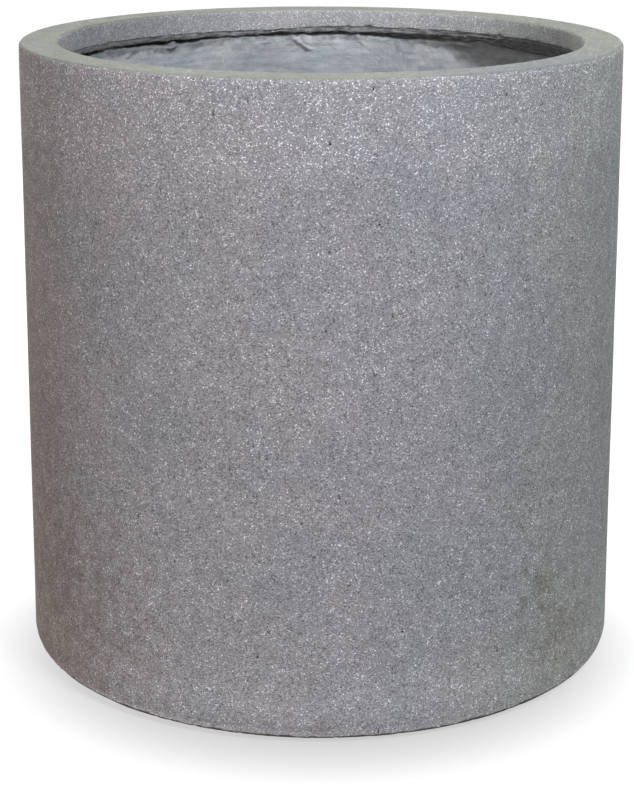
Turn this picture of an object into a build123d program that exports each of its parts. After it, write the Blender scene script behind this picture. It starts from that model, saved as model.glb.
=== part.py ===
from build123d import *
import math
import os

# Fibre-clay planter: a cast face with a turned-in lip, backed by a hand-laid laminate,
# with a rubber bung in its drain hole. Millimetres, +Z up, origin at the middle of the base.

# Overall size
outer_diameter = 500.0
height = 518.0

# Cast face
face_thickness = 5.0
rim_width = 32.5
lip_depth = 16.5  # how far the face turns down inside the mouth
lip_thickness = 5.0
rim_bevel = 2.0
base_corner_radius = 15.0

# Underside, hollowed so that the planter stands on a ring and the drain stays clear
foot_ring_width = 30.0
recess_depth = 4.0
recess_slope = 3.0  # the recess is this much wider at the ground than at its roof

# Mix trowelled in behind the lip
bead_depth = 5.5  # raw edge that hangs below the lip
bead_setback = 1.0
backfill_depth = 98.0  # from the rim down to where the mix runs out on the wall
undercut_height = 2.5
undercut_inset = 7.0

# Laminate on the wall
lining_thickness = 4.0
lining_setback = 6.0  # behind the lip, at the lining's upper edge
lining_gap = 1.0  # below the bead

# The wall laminate is laid in sheets, and each leaves a sagging upper edge
sheet_count = 11
sheet_sag_deep = 6.0
sheet_sag_shallow = 3.0

# Laminate on the floor, turned up over the foot of the wall laminate
floor_thickness = 6.0
upturn_height = 80.0
upturn_thickness = 3.5
cove = 8.0

# Drain and bung
drain_diameter = 25.0
plug_clearance = 0.05  # on the radius, at the rib
plug_head_overhang = 6.5  # past the edge of the hole, all round
plug_head_height = 4.5
plug_head_bevel = 1.2
plug_rib_height = 0.8
plug_rib_width = 3.0
plug_tip_stop = 0.5  # short of the underside, so that the bung never touches the ground

# Worked out from the sizes above
wall_radius = outer_diameter / 2
mouth_radius = wall_radius - rim_width
lip_back = mouth_radius + lip_thickness
face_back = wall_radius - face_thickness
lining_face = face_back - lining_thickness
lining_top_radius = mouth_radius + lining_setback
drain_radius = drain_diameter / 2
rim_back = height - face_thickness
lip_foot = height - lip_depth
bead_foot = lip_foot - bead_depth
lining_top = bead_foot - lining_gap
backfill_foot = height - backfill_depth
shell_floor = recess_depth + face_thickness
floor_top = shell_floor + floor_thickness
corner_bevel = base_corner_radius - face_thickness
corner_top = shell_floor + corner_bevel
lining_foot = corner_top - lining_thickness


def turned(corners):
    """Solid turned about Z from the closed half-section through (radius, height) corners."""
    with BuildPart() as body:
        with BuildSketch(Plane.XZ):
            with BuildLine():
                Polyline(*corners, close=True)
            make_face()
        revolve(axis=Axis.Z)
    return body.part


def make_face_shell():
    """Cast face: hollowed base, rounded foot, wall, flat rim and the lip inside the mouth."""
    recess_radius = wall_radius - base_corner_radius - foot_ring_width
    shell = turned([
        (drain_radius, recess_depth),
        (recess_radius, recess_depth),
        (recess_radius + recess_slope, 0),
        (wall_radius, 0),
        (wall_radius, height),
        (mouth_radius, height),
        (mouth_radius, lip_foot),
        (lip_back, lip_foot),
        (lip_back, rim_back),
        (face_back, rim_back),
        (face_back, corner_top),
        (face_back - corner_bevel, shell_floor),
        (drain_radius, shell_floor),
    ])
    rim_edges = shell.edges().group_by(Axis.Z)[-1]
    shell = chamfer(rim_edges, rim_bevel)
    foot_edge = shell.edges().group_by(Axis.Z)[0].sort_by(SortBy.RADIUS)[-1]
    return fillet(foot_edge, base_corner_radius)


def make_rim_backfill():
    """Mix behind the lip: a raw bead under it, an undercut, and a slope down to the wall."""
    bead_face = mouth_radius + bead_setback
    return turned([
        (lip_back, lip_foot),
        (bead_face, lip_foot),
        (bead_face, bead_foot),
        (bead_face + undercut_inset, bead_foot + undercut_height),
        (lining_top_radius + lining_thickness, lining_top),
        (face_back, backfill_foot),
        (face_back, rim_back),
        (lip_back, rim_back),
    ])


def sheet_cut(sheet):
    """Disc, standing across the wall, that leaves the sagging upper edge of one wall sheet."""
    sag = sheet_sag_deep if sheet % 2 else sheet_sag_shallow
    half_chord = lining_top_radius * math.sin(math.pi / sheet_count)
    disc_radius = (half_chord**2 + sag**2) / (2 * sag)
    reach = lining_top_radius + 2 * lining_thickness
    disc = Cylinder(disc_radius, reach, align=(Align.CENTER, Align.CENTER, Align.MIN))
    lift = lining_top - sag + disc_radius
    return Rot(0, 0, 360 * sheet / sheet_count) * Pos(0, 0, lift) * Rot(0, 90, 0) * disc


def make_wall_lining():
    """Laminate on the wall: sagging upper edge, slope over the backfill, foot in the corner."""
    lining = turned([
        (lining_top_radius, lining_top),
        (lining_top_radius + lining_thickness, lining_top),
        (face_back, backfill_foot),
        (face_back, corner_top),
        (lining_face, lining_foot),
        (lining_face, backfill_foot),
    ])
    for sheet in range(sheet_count):
        lining -= sheet_cut(sheet)
    return lining


def make_floor_lining():
    """Laminate on the floor: it fills the corner and turns up over the wall laminate."""
    upturn_face = lining_face - upturn_thickness
    return turned([
        (drain_radius, shell_floor),
        (face_back - corner_bevel, shell_floor),
        (lining_face, lining_foot),
        (lining_face, upturn_height),
        (upturn_face, upturn_height),
        (upturn_face, floor_top + cove),
        (upturn_face - cove, floor_top),
        (drain_radius, floor_top),
    ])


def make_drain_plug():
    """Rubber bung: bevelled head that seals on the floor, over a stem with a squeeze rib."""
    crest = drain_radius - plug_clearance
    stem = crest - plug_rib_height
    tip = recess_depth + plug_tip_stop
    rib_foot = (floor_top + tip - plug_rib_width) / 2
    rib_top = rib_foot + plug_rib_width
    head_radius = drain_radius + plug_head_overhang
    head_top = floor_top + plug_head_height
    return turned([
        (0, tip),
        (0, head_top),
        (head_radius - plug_head_bevel, head_top),
        (head_radius, head_top - plug_head_bevel),
        (head_radius, floor_top),
        (stem, floor_top),
        (stem, rib_top),
        (crest, rib_top),
        (crest, rib_foot),
        (stem, rib_foot),
        (stem, tip),
    ])


pieces = {
    "face_shell": make_face_shell(),
    "rim_backfill": make_rim_backfill(),
    "wall_lining": make_wall_lining(),
    "floor_lining": make_floor_lining(),
    "drain_plug": make_drain_plug(),
}
os.makedirs("parts", exist_ok=True)
for name, piece in pieces.items():
    export_step(piece, f"parts/{name}.step")
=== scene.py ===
"""Dresses a round fibre-clay planter: cast face, backed rim, laminate lining and rubber bung."""

import logging
import math
import random
from abc import ABC, abstractmethod
from dataclasses import dataclass, field
from enum import Enum
from itertools import product

import bmesh
import bpy
import numpy as np
from mathutils import Matrix, Vector


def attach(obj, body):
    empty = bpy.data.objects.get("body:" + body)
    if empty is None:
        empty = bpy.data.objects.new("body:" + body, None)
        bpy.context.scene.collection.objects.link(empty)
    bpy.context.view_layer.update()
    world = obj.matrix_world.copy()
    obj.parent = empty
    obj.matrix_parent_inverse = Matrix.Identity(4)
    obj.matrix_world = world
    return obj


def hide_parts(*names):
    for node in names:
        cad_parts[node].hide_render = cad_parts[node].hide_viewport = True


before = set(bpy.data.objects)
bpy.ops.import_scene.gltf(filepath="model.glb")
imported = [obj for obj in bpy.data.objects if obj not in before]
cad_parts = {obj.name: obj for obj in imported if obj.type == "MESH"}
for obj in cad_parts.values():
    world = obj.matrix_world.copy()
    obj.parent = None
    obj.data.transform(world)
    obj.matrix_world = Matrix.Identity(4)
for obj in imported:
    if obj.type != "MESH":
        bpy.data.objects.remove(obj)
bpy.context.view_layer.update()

log = logging.getLogger("planter")

MM = 0.001

Corner = tuple[float, float, float]  # distance from the axis, height, rounding
Tone = tuple[float, float, float]  # red, green and blue as a paint chart gives them, 0 to 255
Triple = tuple[float, float, float]  # along x, y and z
Span = tuple[float, float, float, float]  # where a rise starts and ends, and where a fall does


class Body(Enum):
    """What moves as one."""

    PLANTER = "planter"
    PLUG = "plug"


class Slot(Enum):
    """The record's finishes."""

    FACE = "face_mix"
    BACKFILL = "backfill_mix"
    LAMINATE = "laminate"
    RUBBER = "bung_rubber"


def linear(tone: Tone) -> tuple[float, float, float, float]:
    """Turns a paint-chart tone into the light that it reflects.

    Args:
        tone: red, green and blue from 0 to 255.

    Returns:
        The linear colour with full opacity.
    """
    shares = [part / 255 for part in tone]
    lit = [s / 12.92 if s <= 0.04045 else ((s + 0.055) / 1.055) ** 2.4 for s in shares]
    return (lit[0], lit[1], lit[2], 1.0)


def lattice(cells: np.ndarray) -> np.ndarray:
    """Draws a random slope for each corner of a grid. Large odd factors scatter the corners.

    Args:
        cells: whole-number corners, one row each.

    Returns:
        A slope along x, y and z for each corner, each from -1 to 1.
    """
    mixed = cells[:, 0] * 73856093 ^ cells[:, 1] * 19349663 ^ cells[:, 2] * 83492791
    mixed = ((mixed & 0xFFFFFFFF) ^ ((mixed & 0xFFFFFFFF) >> 13)) * 1274126177 & 0xFFFFFFFF
    mixed = (mixed ^ (mixed >> 16)) * 668265263 & 0xFFFFFFFF
    return np.stack([(mixed >> shift & 1023) / 511.5 - 1 for shift in (0, 10, 20)], axis=1)


def swell(places: np.ndarray) -> np.ndarray:
    """Soft random relief with bumps about 1 long.

    Args:
        places: points, one row each.

    Returns:
        A height from about -1 to 1 for each point.
    """
    reach = 1.4  # brings the sum of the slopes to about 1 at most
    cell = np.floor(places).astype(np.int64)
    inside = places - cell
    fade = inside**3 * (inside * (inside * 6 - 15) + 10)
    total = np.zeros(len(places))
    for corner in product((0, 1), repeat=3):
        step = np.array(corner)
        weight = np.prod(np.where(step == 1, fade, 1 - fade), axis=1)
        total += weight * np.sum(lattice(cell + step) * (inside - step), axis=1)
    return total * reach


def relief(places: np.ndarray, size: float | Triple, layers: int = 3) -> np.ndarray:
    """Soft random relief, about -1 to 1, with bumps of a given size.

    Args:
        places: points in metres, one row each.
        size: length of one bump, or its length along each axis.
        layers: how many layers, each about twice as fine and just over half as high.

    Returns:
        One height for each point.
    """
    finer, lower, apart = 2.1, 0.55, 17.3
    scaled = places / np.array(size)
    return sum(swell(scaled * finer**n + apart * n) * lower**n for n in range(layers))


def smooth(low: float, high: float, value: np.ndarray) -> np.ndarray:
    """Rises softly from 0 at low to 1 at high.

    Args:
        low: where the rise starts.
        high: where it ends, which may be below low for a fall.
        value: what is looked at.

    Returns:
        Shares from 0 to 1.
    """
    share = np.clip((value - low) / (high - low), 0.0, 1.0)
    return share * share * (3 - 2 * share)


def band(span: Span, value: np.ndarray) -> np.ndarray:
    """Rises softly from 0 to 1 and falls back to 0.

    Args:
        span: where the rise starts and ends, and where the fall does.
        value: what is looked at.

    Returns:
        Shares from 0 to 1.
    """
    start, full, fading, end = span
    return smooth(start, full, value) * smooth(end, fading, value)


@dataclass
class Section:
    """Closed half-section of a turned piece.

    Attributes:
        corners: distance from the axis, height and rounding, counter-clockwise.
        steps: length in millimetres of the steps along the side that starts at each corner.
        arc_step: the largest turn between two points of a rounding.
    """

    corners: list[Corner]
    steps: list[float]
    arc_step: float = math.radians(15)

    def _arc(self, index: int) -> list[np.ndarray]:
        """Rounds one corner.

        Args:
            index: the corner's place in the list.

        Returns:
            Points of the rounding, or the corner itself where it is sharp.
        """
        beside = (index - 1, (index + 1) % len(self.corners))
        here, before, after = (np.array(self.corners[i][:2]) for i in (index, *beside))
        rounding = self.corners[index][2]
        if rounding == 0:
            return [here]
        back = (before - here) / np.linalg.norm(before - here)
        ahead = (after - here) / np.linalg.norm(after - here)
        half = math.acos(float(np.clip(back @ ahead, -1, 1))) / 2
        middle = here + (back + ahead) / np.linalg.norm(back + ahead) * rounding / math.sin(half)
        start = here + back * rounding / math.tan(half) - middle
        end = here + ahead * rounding / math.tan(half) - middle
        first, last = math.atan2(start[1], start[0]), math.atan2(end[1], end[0])
        turn = (last - first + math.pi) % (2 * math.pi) - math.pi
        parts = max(2, math.ceil(abs(turn) / self.arc_step))
        angles = [first + turn * k / parts for k in range(parts + 1)]
        return [middle + rounding * np.array((math.cos(a), math.sin(a))) for a in angles]

    def points(self) -> np.ndarray:
        """Traces the section, rounded and divided.

        Returns:
            One row of distance and height for each point.
        """
        arcs = [self._arc(index) for index in range(len(self.corners))]
        traced: list[np.ndarray] = []
        for index, arc in enumerate(arcs):
            traced += arc
            start, end = arc[-1], arcs[(index + 1) % len(arcs)][0]
            parts = max(1, round(float(np.linalg.norm(end - start)) / (self.steps[index] * MM)))
            traced += [start + (end - start) * k / parts for k in range(1, parts)]
        return np.array(traced)


@dataclass
class TurnedSkin:
    """Fine skin of a turned piece, whose points can be moved before it becomes a mesh.

    Attributes:
        section: the half-section that is turned.
        segments: steps round the axis.
        radius: distance of each point from the axis, before it is moved.
        height: height of each point, before it is moved.
        angle: angle of each point round the axis, from +X towards +Y.
        outward: direction away from the surface at each point, before it is moved.
        places: where the points are.
    """

    section: Section
    segments: int
    radius: np.ndarray = field(init=False)
    height: np.ndarray = field(init=False)
    angle: np.ndarray = field(init=False)
    outward: np.ndarray = field(init=False)
    places: np.ndarray = field(init=False)

    def __post_init__(self) -> None:
        """Lays out the points, row by row up the section."""
        traced = self.section.points()
        along = np.roll(traced, -1, axis=0) - np.roll(traced, 1, axis=0)
        facing = np.stack([along[:, 1], -along[:, 0]], axis=1)
        facing = facing / np.linalg.norm(facing, axis=1, keepdims=True)
        turn = np.arange(self.segments) * 2 * math.pi / self.segments
        self.angle = np.tile(turn, len(traced))
        self.radius, self.height = np.repeat(traced, self.segments, axis=0).T
        self.places = self._turned(self.radius, self.height)
        self.outward = self._turned(*np.repeat(facing, self.segments, axis=0).T)

    def _turned(self, across: np.ndarray, up: np.ndarray) -> np.ndarray:
        """Turns half-section pairs round the axis to each point's angle."""
        return np.stack([across * np.cos(self.angle), across * np.sin(self.angle), up], axis=1)

    def push(self, depth: np.ndarray) -> None:
        """Moves the points along their outward directions.

        Args:
            depth: how far each point goes out, in metres, or in where it is negative.
        """
        self.places = self.places + self.outward * depth[:, None]

    def mesh(self, name: str) -> bpy.types.Mesh:
        """Makes the mesh, closed round the axis and round the section.

        Args:
            name: the mesh's name.

        Returns:
            A closed mesh with smooth faces.
        """
        index = np.arange(len(self.places)).reshape(-1, self.segments)
        right = np.roll(index, -1, axis=1)
        above = np.roll(index, -1, axis=0)
        faces = np.stack([index, right, np.roll(above, -1, axis=1), above], axis=2)
        mesh = bpy.data.meshes.new(name)
        mesh.from_pydata(self.places.tolist(), [], faces.reshape(-1, 4).tolist())
        mesh.polygons.foreach_set("use_smooth", [True] * len(mesh.polygons))
        mesh.update()
        return mesh


class Signal:
    """A number, a colour or a shader in a wiring. Sums of numbers are written as in arithmetic."""

    def __init__(self, wiring: "Wiring", socket: bpy.types.NodeSocket) -> None:
        """Takes hold of an output.

        Args:
            wiring: the wiring that it belongs to.
            socket: the output.
        """
        self.wiring = wiring
        self.socket = socket

    def _joined(self, how: str, other: "Signal | float" = 0.0) -> "Signal":
        """The result of the operation of that name."""
        return self.wiring.signal("Math", {0: self, 1: other}, operation=how)

    def __add__(self, other: "Signal | float") -> "Signal":
        """The sum of two numbers."""
        return self._joined("ADD", other)

    def __mul__(self, other: "Signal | float") -> "Signal":
        """The product of two numbers, which is high where both are."""
        return self._joined("MULTIPLY", other)

    def __pow__(self, other: "Signal | float") -> "Signal":
        """The number raised to a power."""
        return self._joined("POWER", other)

    def __abs__(self) -> "Signal":
        """The number without its sign."""
        return self._joined("ABSOLUTE")

    def most(self, other: "Signal | float") -> "Signal":
        """The larger of two numbers."""
        return self._joined("MAXIMUM", other)

    def ramp(self, low: float, high: float, start: float = 0.0, end: float = 1.0) -> "Signal":
        """Moves softly from start to end while the number goes from low to high.

        Args:
            low: where the change starts.
            high: where it ends, which may be below low.
            start: the result before low.
            end: the result after high.

        Returns:
            The result.
        """
        limits = {"From Min": low, "From Max": high, "To Min": start, "To Max": end}
        return self.wiring.signal("MapRange", {"Value": self, **limits}, interpolation_type="SMOOTHSTEP")

    def swing(self, reach: float, low: float = 0.3, high: float = 0.7) -> "Signal":
        """Turns noise into a number that swings from -reach to reach."""
        return self.ramp(low, high, -reach, reach)

    def band(self, start: float, full: float, fading: float, end: float) -> "Signal":
        """Rises softly from 0 to 1 between start and full, and falls from fading to end."""
        return self.ramp(start, full) * self.ramp(end, fading)

    def steps(self, stops: tuple[tuple[float, float], ...]) -> "Signal":
        """Reads the number off a line through given points.

        Args:
            stops: points of the line, from the lowest number to the highest.

        Returns:
            The line's height there.
        """
        node = self.wiring.node("ValToRGB", {0: self})
        bar = node.color_ramp
        while len(bar.elements) < len(stops):
            bar.elements.new(0.5)
        for stop, (place, height) in zip(bar.elements, stops):
            stop.position = place
            stop.color = (height, height, height, 1)
        return Signal(self.wiring, node.outputs[0])


Feeds = dict[int | str, Signal | float | tuple]  # what goes into each input of a node


class Wiring:
    """Nodes of a material or of the world."""

    def __init__(self, tree: bpy.types.NodeTree) -> None:
        """Starts from nothing.

        Args:
            tree: the node tree, which is emptied.
        """
        self.tree = tree
        tree.nodes.clear()

    def node(self, kind: str, feeds: Feeds, **options: str) -> bpy.types.Node:
        """Adds a node.

        Args:
            kind: the node's type, without the words that all types start with.
            feeds: the signal or plain value for each input, by the input's name or number.
            options: the node's own settings.

        Returns:
            The node.
        """
        node = self.tree.nodes.new(f"ShaderNode{kind}")
        for name, choice in options.items():
            setattr(node, name, choice)
        for key, value in feeds.items():
            if isinstance(value, Signal):
                self.tree.links.new(value.socket, node.inputs[key])
            else:
                node.inputs[key].default_value = value
        return node

    def signal(self, kind: str, feeds: Feeds, output: int | str = 0, **options: str) -> Signal:
        """Adds a node and takes one of its outputs, by its name or number."""
        return Signal(self, self.node(kind, feeds, **options).outputs[output])

    def seen(self) -> Signal:
        """Tells the rays that the picture looks along from the light that falls on things.

        Returns:
            1 for rays that the picture, a mirror or glass looks along, and 0 for the others.
        """
        path = self.node("LightPath", {})
        camera, glossy, clear = (
            Signal(self, path.outputs[f"Is {ray} Ray"]) for ray in ("Camera", "Glossy", "Transmission")
        )
        return camera.most(glossy).most(clear)

    def blend(self, share: Signal | float, first: Signal | Tone, second: Signal | Tone) -> Signal:
        """Goes from the first colour to the second.

        Args:
            share: 0 for the first colour, 1 for the second.
            first: a colour signal or a tone.
            second: a colour signal or a tone.

        Returns:
            The mixed colour.
        """
        first, second = (c if isinstance(c, Signal) else linear(c) for c in (first, second))
        return self.signal("Mix", {0: share, 6: first, 7: second}, 2, data_type="RGBA")

    def brighten(self, colour: Signal | Tone, factor: Signal) -> Signal:
        """Scales a colour's brightness.

        Args:
            colour: a colour signal or a tone.
            factor: 1 leaves it as it is.

        Returns:
            The scaled colour.
        """
        base = colour if isinstance(colour, Signal) else linear(colour)[:3]
        return self.signal("VectorMath", {0: base, "Scale": factor}, operation="SCALE")


class Recipe(Wiring):
    """Wiring of one finish, from places in the planter's own frame."""

    def __init__(self, name: str) -> None:
        """Starts an empty finish.

        Args:
            name: the material's name.
        """
        self.material = bpy.data.materials.new(name)
        self.material.use_nodes = True
        super().__init__(self.material.node_tree)
        self.place = self.signal("TexCoord", {}, "Object")
        split = self.node("SeparateXYZ", {0: self.place})
        self.x, self.y, self.z = (Signal(self, output) for output in split.outputs)

    def _stretched(self, size: float | Triple, shift: float) -> Signal:
        """Scales places to a texture's size.

        Args:
            size: length of one bump in metres, or its length along each axis.
            shift: another number gives another part of the texture.

        Returns:
            Places where 1 is the length of a bump.
        """
        sizes = size if isinstance(size, tuple) else (size, size, size)
        scales = tuple(1 / part for part in sizes)
        moved = (shift * 3.1, shift * 5.7, shift * 4.3)
        return self.signal("VectorMath", {0: self.place, 1: scales, 2: moved}, operation="MULTIPLY_ADD")

    def cloud(
        self, size: float | Triple, detail: float = 2.0, rough: float = 0.5, shift: float = 0.0
    ) -> Signal:
        """Soft noise from 0 to 1.

        Args:
            size: length of one bump in metres, or its length along each axis.
            detail: how many finer layers.
            rough: how strong the finer layers are.
            shift: another number gives another pattern.

        Returns:
            The noise.
        """
        place = self._stretched(size, shift)
        feeds = {"Vector": place, "Scale": 1.0, "Detail": detail, "Roughness": rough}
        return self.signal("TexNoise", feeds, "Fac")

    def grains(self, size: float, shift: float = 0.0) -> tuple[Signal, Signal, Signal]:
        """Packed grains.

        Args:
            size: mean distance between grains in metres.
            shift: another number gives another scatter.

        Returns:
            The distance from the nearest grain's middle, in grain sizes, and two random numbers
            that belong to that grain.
        """
        cells = self.node("TexVoronoi", {"Vector": self._stretched(size, shift), "Scale": 1.0})
        split = self.node("SeparateColor", {0: Signal(self, cells.outputs["Color"])})
        outputs = (cells.outputs["Distance"], split.outputs[0], split.outputs[1])
        return tuple(Signal(self, output) for output in outputs)

    def facing_up(self) -> Signal:
        """How far the surface faces up: 1 on top, 0 on a wall."""
        normal = self.signal("NewGeometry", {}, "Normal")
        return self.signal("SeparateXYZ", {0: normal}, 2)

    def near(self, middle: Triple, size: Triple = (1.0, 1.0, 1.0)) -> Signal:
        """Distance from a point.

        Args:
            middle: the point.
            size: the length along each axis that counts as 1.

        Returns:
            The distance.
        """
        away = self.signal("VectorMath", {0: self.place, 1: middle}, operation="SUBTRACT")
        away = self.signal("VectorMath", {0: away, 1: size}, operation="DIVIDE")
        return self.signal("VectorMath", {0: away}, "Value", operation="LENGTH")

    def across(self) -> Signal:
        """Distance from the planter's axis."""
        return self.near((0.0, 0.0, 0.0), (1.0, 1.0, 1000.0))

    def finish(
        self, colour: Signal, roughness: Signal | float, height: Signal, depth: float, sheen: float
    ) -> bpy.types.Material:
        """Ends the finish.

        Args:
            colour: the surface colour.
            roughness: 0 is a mirror and 1 is chalk.
            height: fine relief that catches the light, about 0 to 1.
            depth: how high 1 is in that relief, in metres.
            sheen: how strongly it mirrors, where 0.5 is usual for stone and plastic.

        Returns:
            The material.
        """
        bent = self.signal("Bump", {"Height": height, "Strength": 1.0, "Distance": depth})
        surface = {"Base Color": colour, "Roughness": roughness, "Normal": bent}
        shader = self.signal("BsdfPrincipled", {**surface, "Specular IOR Level": sheen})
        self.node("OutputMaterial", {"Surface": shader})
        return self.material


@dataclass(frozen=True)
class Stain:
    """A damp or dirty patch.

    Attributes:
        middle: where it is.
        size: how far it reaches along each axis.
        strength: how much of its tone shows at its middle.
        tone: its colour.
    """

    middle: Triple
    size: Triple
    strength: float
    tone: Tone


@dataclass(frozen=True)
class FaceMix:
    """Cast face: packed grey sand, with white chips and small open pits.

    Attributes:
        grain_tones: brightness of the grains, from the darkest share to the brightest.
        stains: damp patches low on the wall.
        foot_chip: place and size of the chip over the foot.
    """

    body: Tone = (150, 152, 158)
    warm: Tone = (151, 150, 155)
    green: Tone = (147, 151, 150)
    brown: Tone = (152, 143, 141)
    cool_grain: Tone = (140, 150, 166)
    warm_grain: Tone = (162, 148, 150)
    # near black of the pits, which is painted shade
    pit_shade: Tone = (34, 32, 31)
    rim: Tone = (133, 137, 129)
    # Painted shade: the rim's darker tones at the sides and near right.
    rim_side_shade: Tone = (124, 129, 120)
    rim_near_shade: Tone = (118, 122, 123)
    foot_line: Tone = (92, 81, 75)
    chip: Tone = (52, 48, 47)
    wall_radius: float = 250 * MM
    mouth_radius: float = 217.5 * MM
    rim_height: float = 518 * MM
    grain_size: float = 0.82 * MM
    fine_size: float = 0.64 * MM
    mottle_size: float = 12 * MM
    cloud_size: float = 80 * MM
    pit_pitch: float = 11 * MM
    pinhole_pitch: float = 5 * MM
    grain_tones: tuple[tuple[float, float], ...] = (
        (0.0, 0.26), (0.05, 0.5), (0.25, 0.8), (0.6, 0.98),
        (0.82, 1.15), (0.93, 1.42), (0.975, 1.8), (1.0, 2.8),
    )
    stains: tuple[Stain, ...] = (
        Stain((0.176, -0.178, 0.104), (0.017, 0.017, 0.018), 0.70, (128, 128, 113)),
        Stain((0.192, -0.160, 0.050), (0.050, 0.050, 0.040), 0.65, (133, 134, 124)),
        Stain((0.002, -0.250, 0.013), (0.008, 0.008, 0.006), 0.35, (132, 119, 110)),
        Stain((-0.210, -0.136, 0.040), (0.085, 0.085, 0.105), 0.90, (140, 130, 128)),
    )
    foot_chip: tuple[Triple, Triple] = ((0.0452, -0.2459, 0.008), (0.9 * MM, 6 * MM, 4.2 * MM))
    relief_depth: float = 0.22 * MM
    roughness: float = 0.88
    chip_roughness: float = 0.45
    sheen: float = 0.2

    def material(self, name: str) -> bpy.types.Material:
        """Wires the finish.

        Args:
            name: the material's name.

        Returns:
            The material.
        """
        mix = Recipe(name)
        across = mix.across()
        mottle = mix.cloud(self.mottle_size, 2, 0.6, 5.3)
        cloudy = mix.cloud(self.cloud_size, 2, 0.55, 7.9)
        fine = mix.cloud(self.fine_size, 1, 0.6, 1.7)
        _, lot, hue = mix.grains(self.grain_size, 1.0)
        top = self._rim_share(mix, fine)
        lip = across.ramp(self.mouth_radius + 3.5 * MM, self.mouth_radius + 1.5 * MM)
        # Painted light: the upper wall and the lip are brighter, with more bright grains.
        upper = (mix.z + cloudy.swing(12 * MM)).ramp(0.425, 0.465)
        sparkle = lot + mottle.swing(0.018) + upper * 0.03

        rubbed_and_shade = self._rubbed_and_shade(mix)
        body = self._sand(mix, mottle, cloudy, hue)
        body = mix.blend(top, mix.blend(lip * 0.2, body, rubbed_and_shade), rubbed_and_shade)
        tone = sparkle.steps(self.grain_tones) * fine.ramp(0.25, 0.75, 0.84, 1.16)
        tone = tone ** top.most(lip * 0.45).ramp(0.0, 1.0, 1.0, 0.22)
        lip_shade = mix.x.ramp(-0.2, 0.0, -0.16, 0.40) + mix.x.ramp(0.0, 0.13, 0.0, 0.12)
        # Random tone, with painted light above the foot and on it.
        lift = mottle.swing(0.05) + cloudy.swing(0.04) + self._painted_foot_light(mix, cloudy, across) + 1.0
        body = mix.brighten(body, tone * (lift + (upper * 0.05 + lip * lip_shade)))

        body = self._foot_marks(mix, body, mottle, across)
        # Painted shade: pits, pinholes and the insides of the open pits are near black.
        shaded_pits = self._scatter(mix, self.pit_pitch, 0.5, 0.055, 6.6)
        shaded_pits = shaded_pits.most(self._scatter(mix, self.pinhole_pitch, 0.82, 0.1, 2.6))
        shaded_pits = shaded_pits.most(self._sunk(mix, across))
        body = mix.blend(shaded_pits * 0.9, body, self.pit_shade)
        rough = sparkle.ramp(0.9, 1.0, self.roughness, self.chip_roughness)
        height = (fine + lot * 0.8) * top.ramp(0.0, 1.0, 1.0, 0.35)
        return mix.finish(body, rough, height, self.relief_depth, self.sheen)

    def _sand(self, mix: Recipe, mottle: Signal, cloudy: Signal, hue: Signal) -> Signal:
        """Mixes the sand's colour: greener to the right, browner low at the left, and stained.

        Args:
            mix: the finish that is being wired.
            mottle: noise that makes the stains ragged.
            cloudy: broad noise.
            hue: a random number for each grain.

        Returns:
            The colour, before the grains' brightness.
        """
        body = mix.blend(cloudy.ramp(0.35, 0.62), self.body, self.warm)
        body = mix.blend((mix.x + cloudy * 0.1).ramp(0.12, 0.3), body, self.green)
        browned = mix.x.ramp(-0.18, -0.235) * mix.z.ramp(0.46, 0.2, 0.35, 1.0) * mix.y.ramp(0.12, -0.02)
        body = mix.blend(browned, body, self.brown)
        ragged = mottle.swing(0.5, 0.2, 0.8)
        for stain in self.stains:
            near = mix.near(stain.middle, stain.size) + ragged
            body = mix.blend(near.ramp(1.6, 0.0, 0.0, stain.strength), body, stain.tone)
        body = mix.blend(hue.ramp(0.80, 1.0, 0.0, 0.35), body, self.cool_grain)
        return mix.blend(hue.ramp(0.18, 0.0, 0.0, 0.35), body, self.warm_grain)

    def _rubbed_and_shade(self, mix: Recipe) -> Signal:
        """Mixes the colour of the rubbed rim, with painted shade that makes it a little darker at the
        sides and near right.

        Args:
            mix: the finish that is being wired.

        Returns:
            The colour.
        """
        # Painted shade: the rim darker at the sides and near right.
        rubbed_and_shade = mix.blend(abs(mix.x).ramp(0.07, 0.2), self.rim, self.rim_side_shade)
        near_right = mix.x.ramp(0.03, 0.15) * mix.y.ramp(-0.04, -0.14)
        return mix.blend(near_right, rubbed_and_shade, self.rim_near_shade)

    def _rim_share(self, mix: Recipe, fine: Signal) -> Signal:
        """Tells the rubbed rim from the rest of the face.

        Args:
            mix: the finish that is being wired.
            fine: noise that makes the rim's edges crumbly.

        Returns:
            1 on the rim and 0 elsewhere.
        """
        up = (fine.swing(0.22, 0.25, 0.75) + mix.facing_up()).ramp(0.42, 0.86)
        return up * mix.z.ramp(self.rim_height - 5 * MM, self.rim_height - 3.5 * MM)

    def _scatter(self, mix: Recipe, pitch: float, rarity: float, reach: float, shift: float) -> Signal:
        """Share of the surface that scattered grains cover.

        Args:
            mix: the finish that is being wired.
            pitch: mean distance between the grains' places.
            rarity: 0 fills each place and 1 none.
            reach: the largest grain's radius, in pitches.
            shift: another number gives another scatter.

        Returns:
            1 on a grain and 0 beside it.
        """
        away, lot, _ = mix.grains(pitch, shift)
        return lot.ramp(rarity, rarity + 0.02) * away.ramp(reach * 1.1, reach * 0.7)

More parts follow.
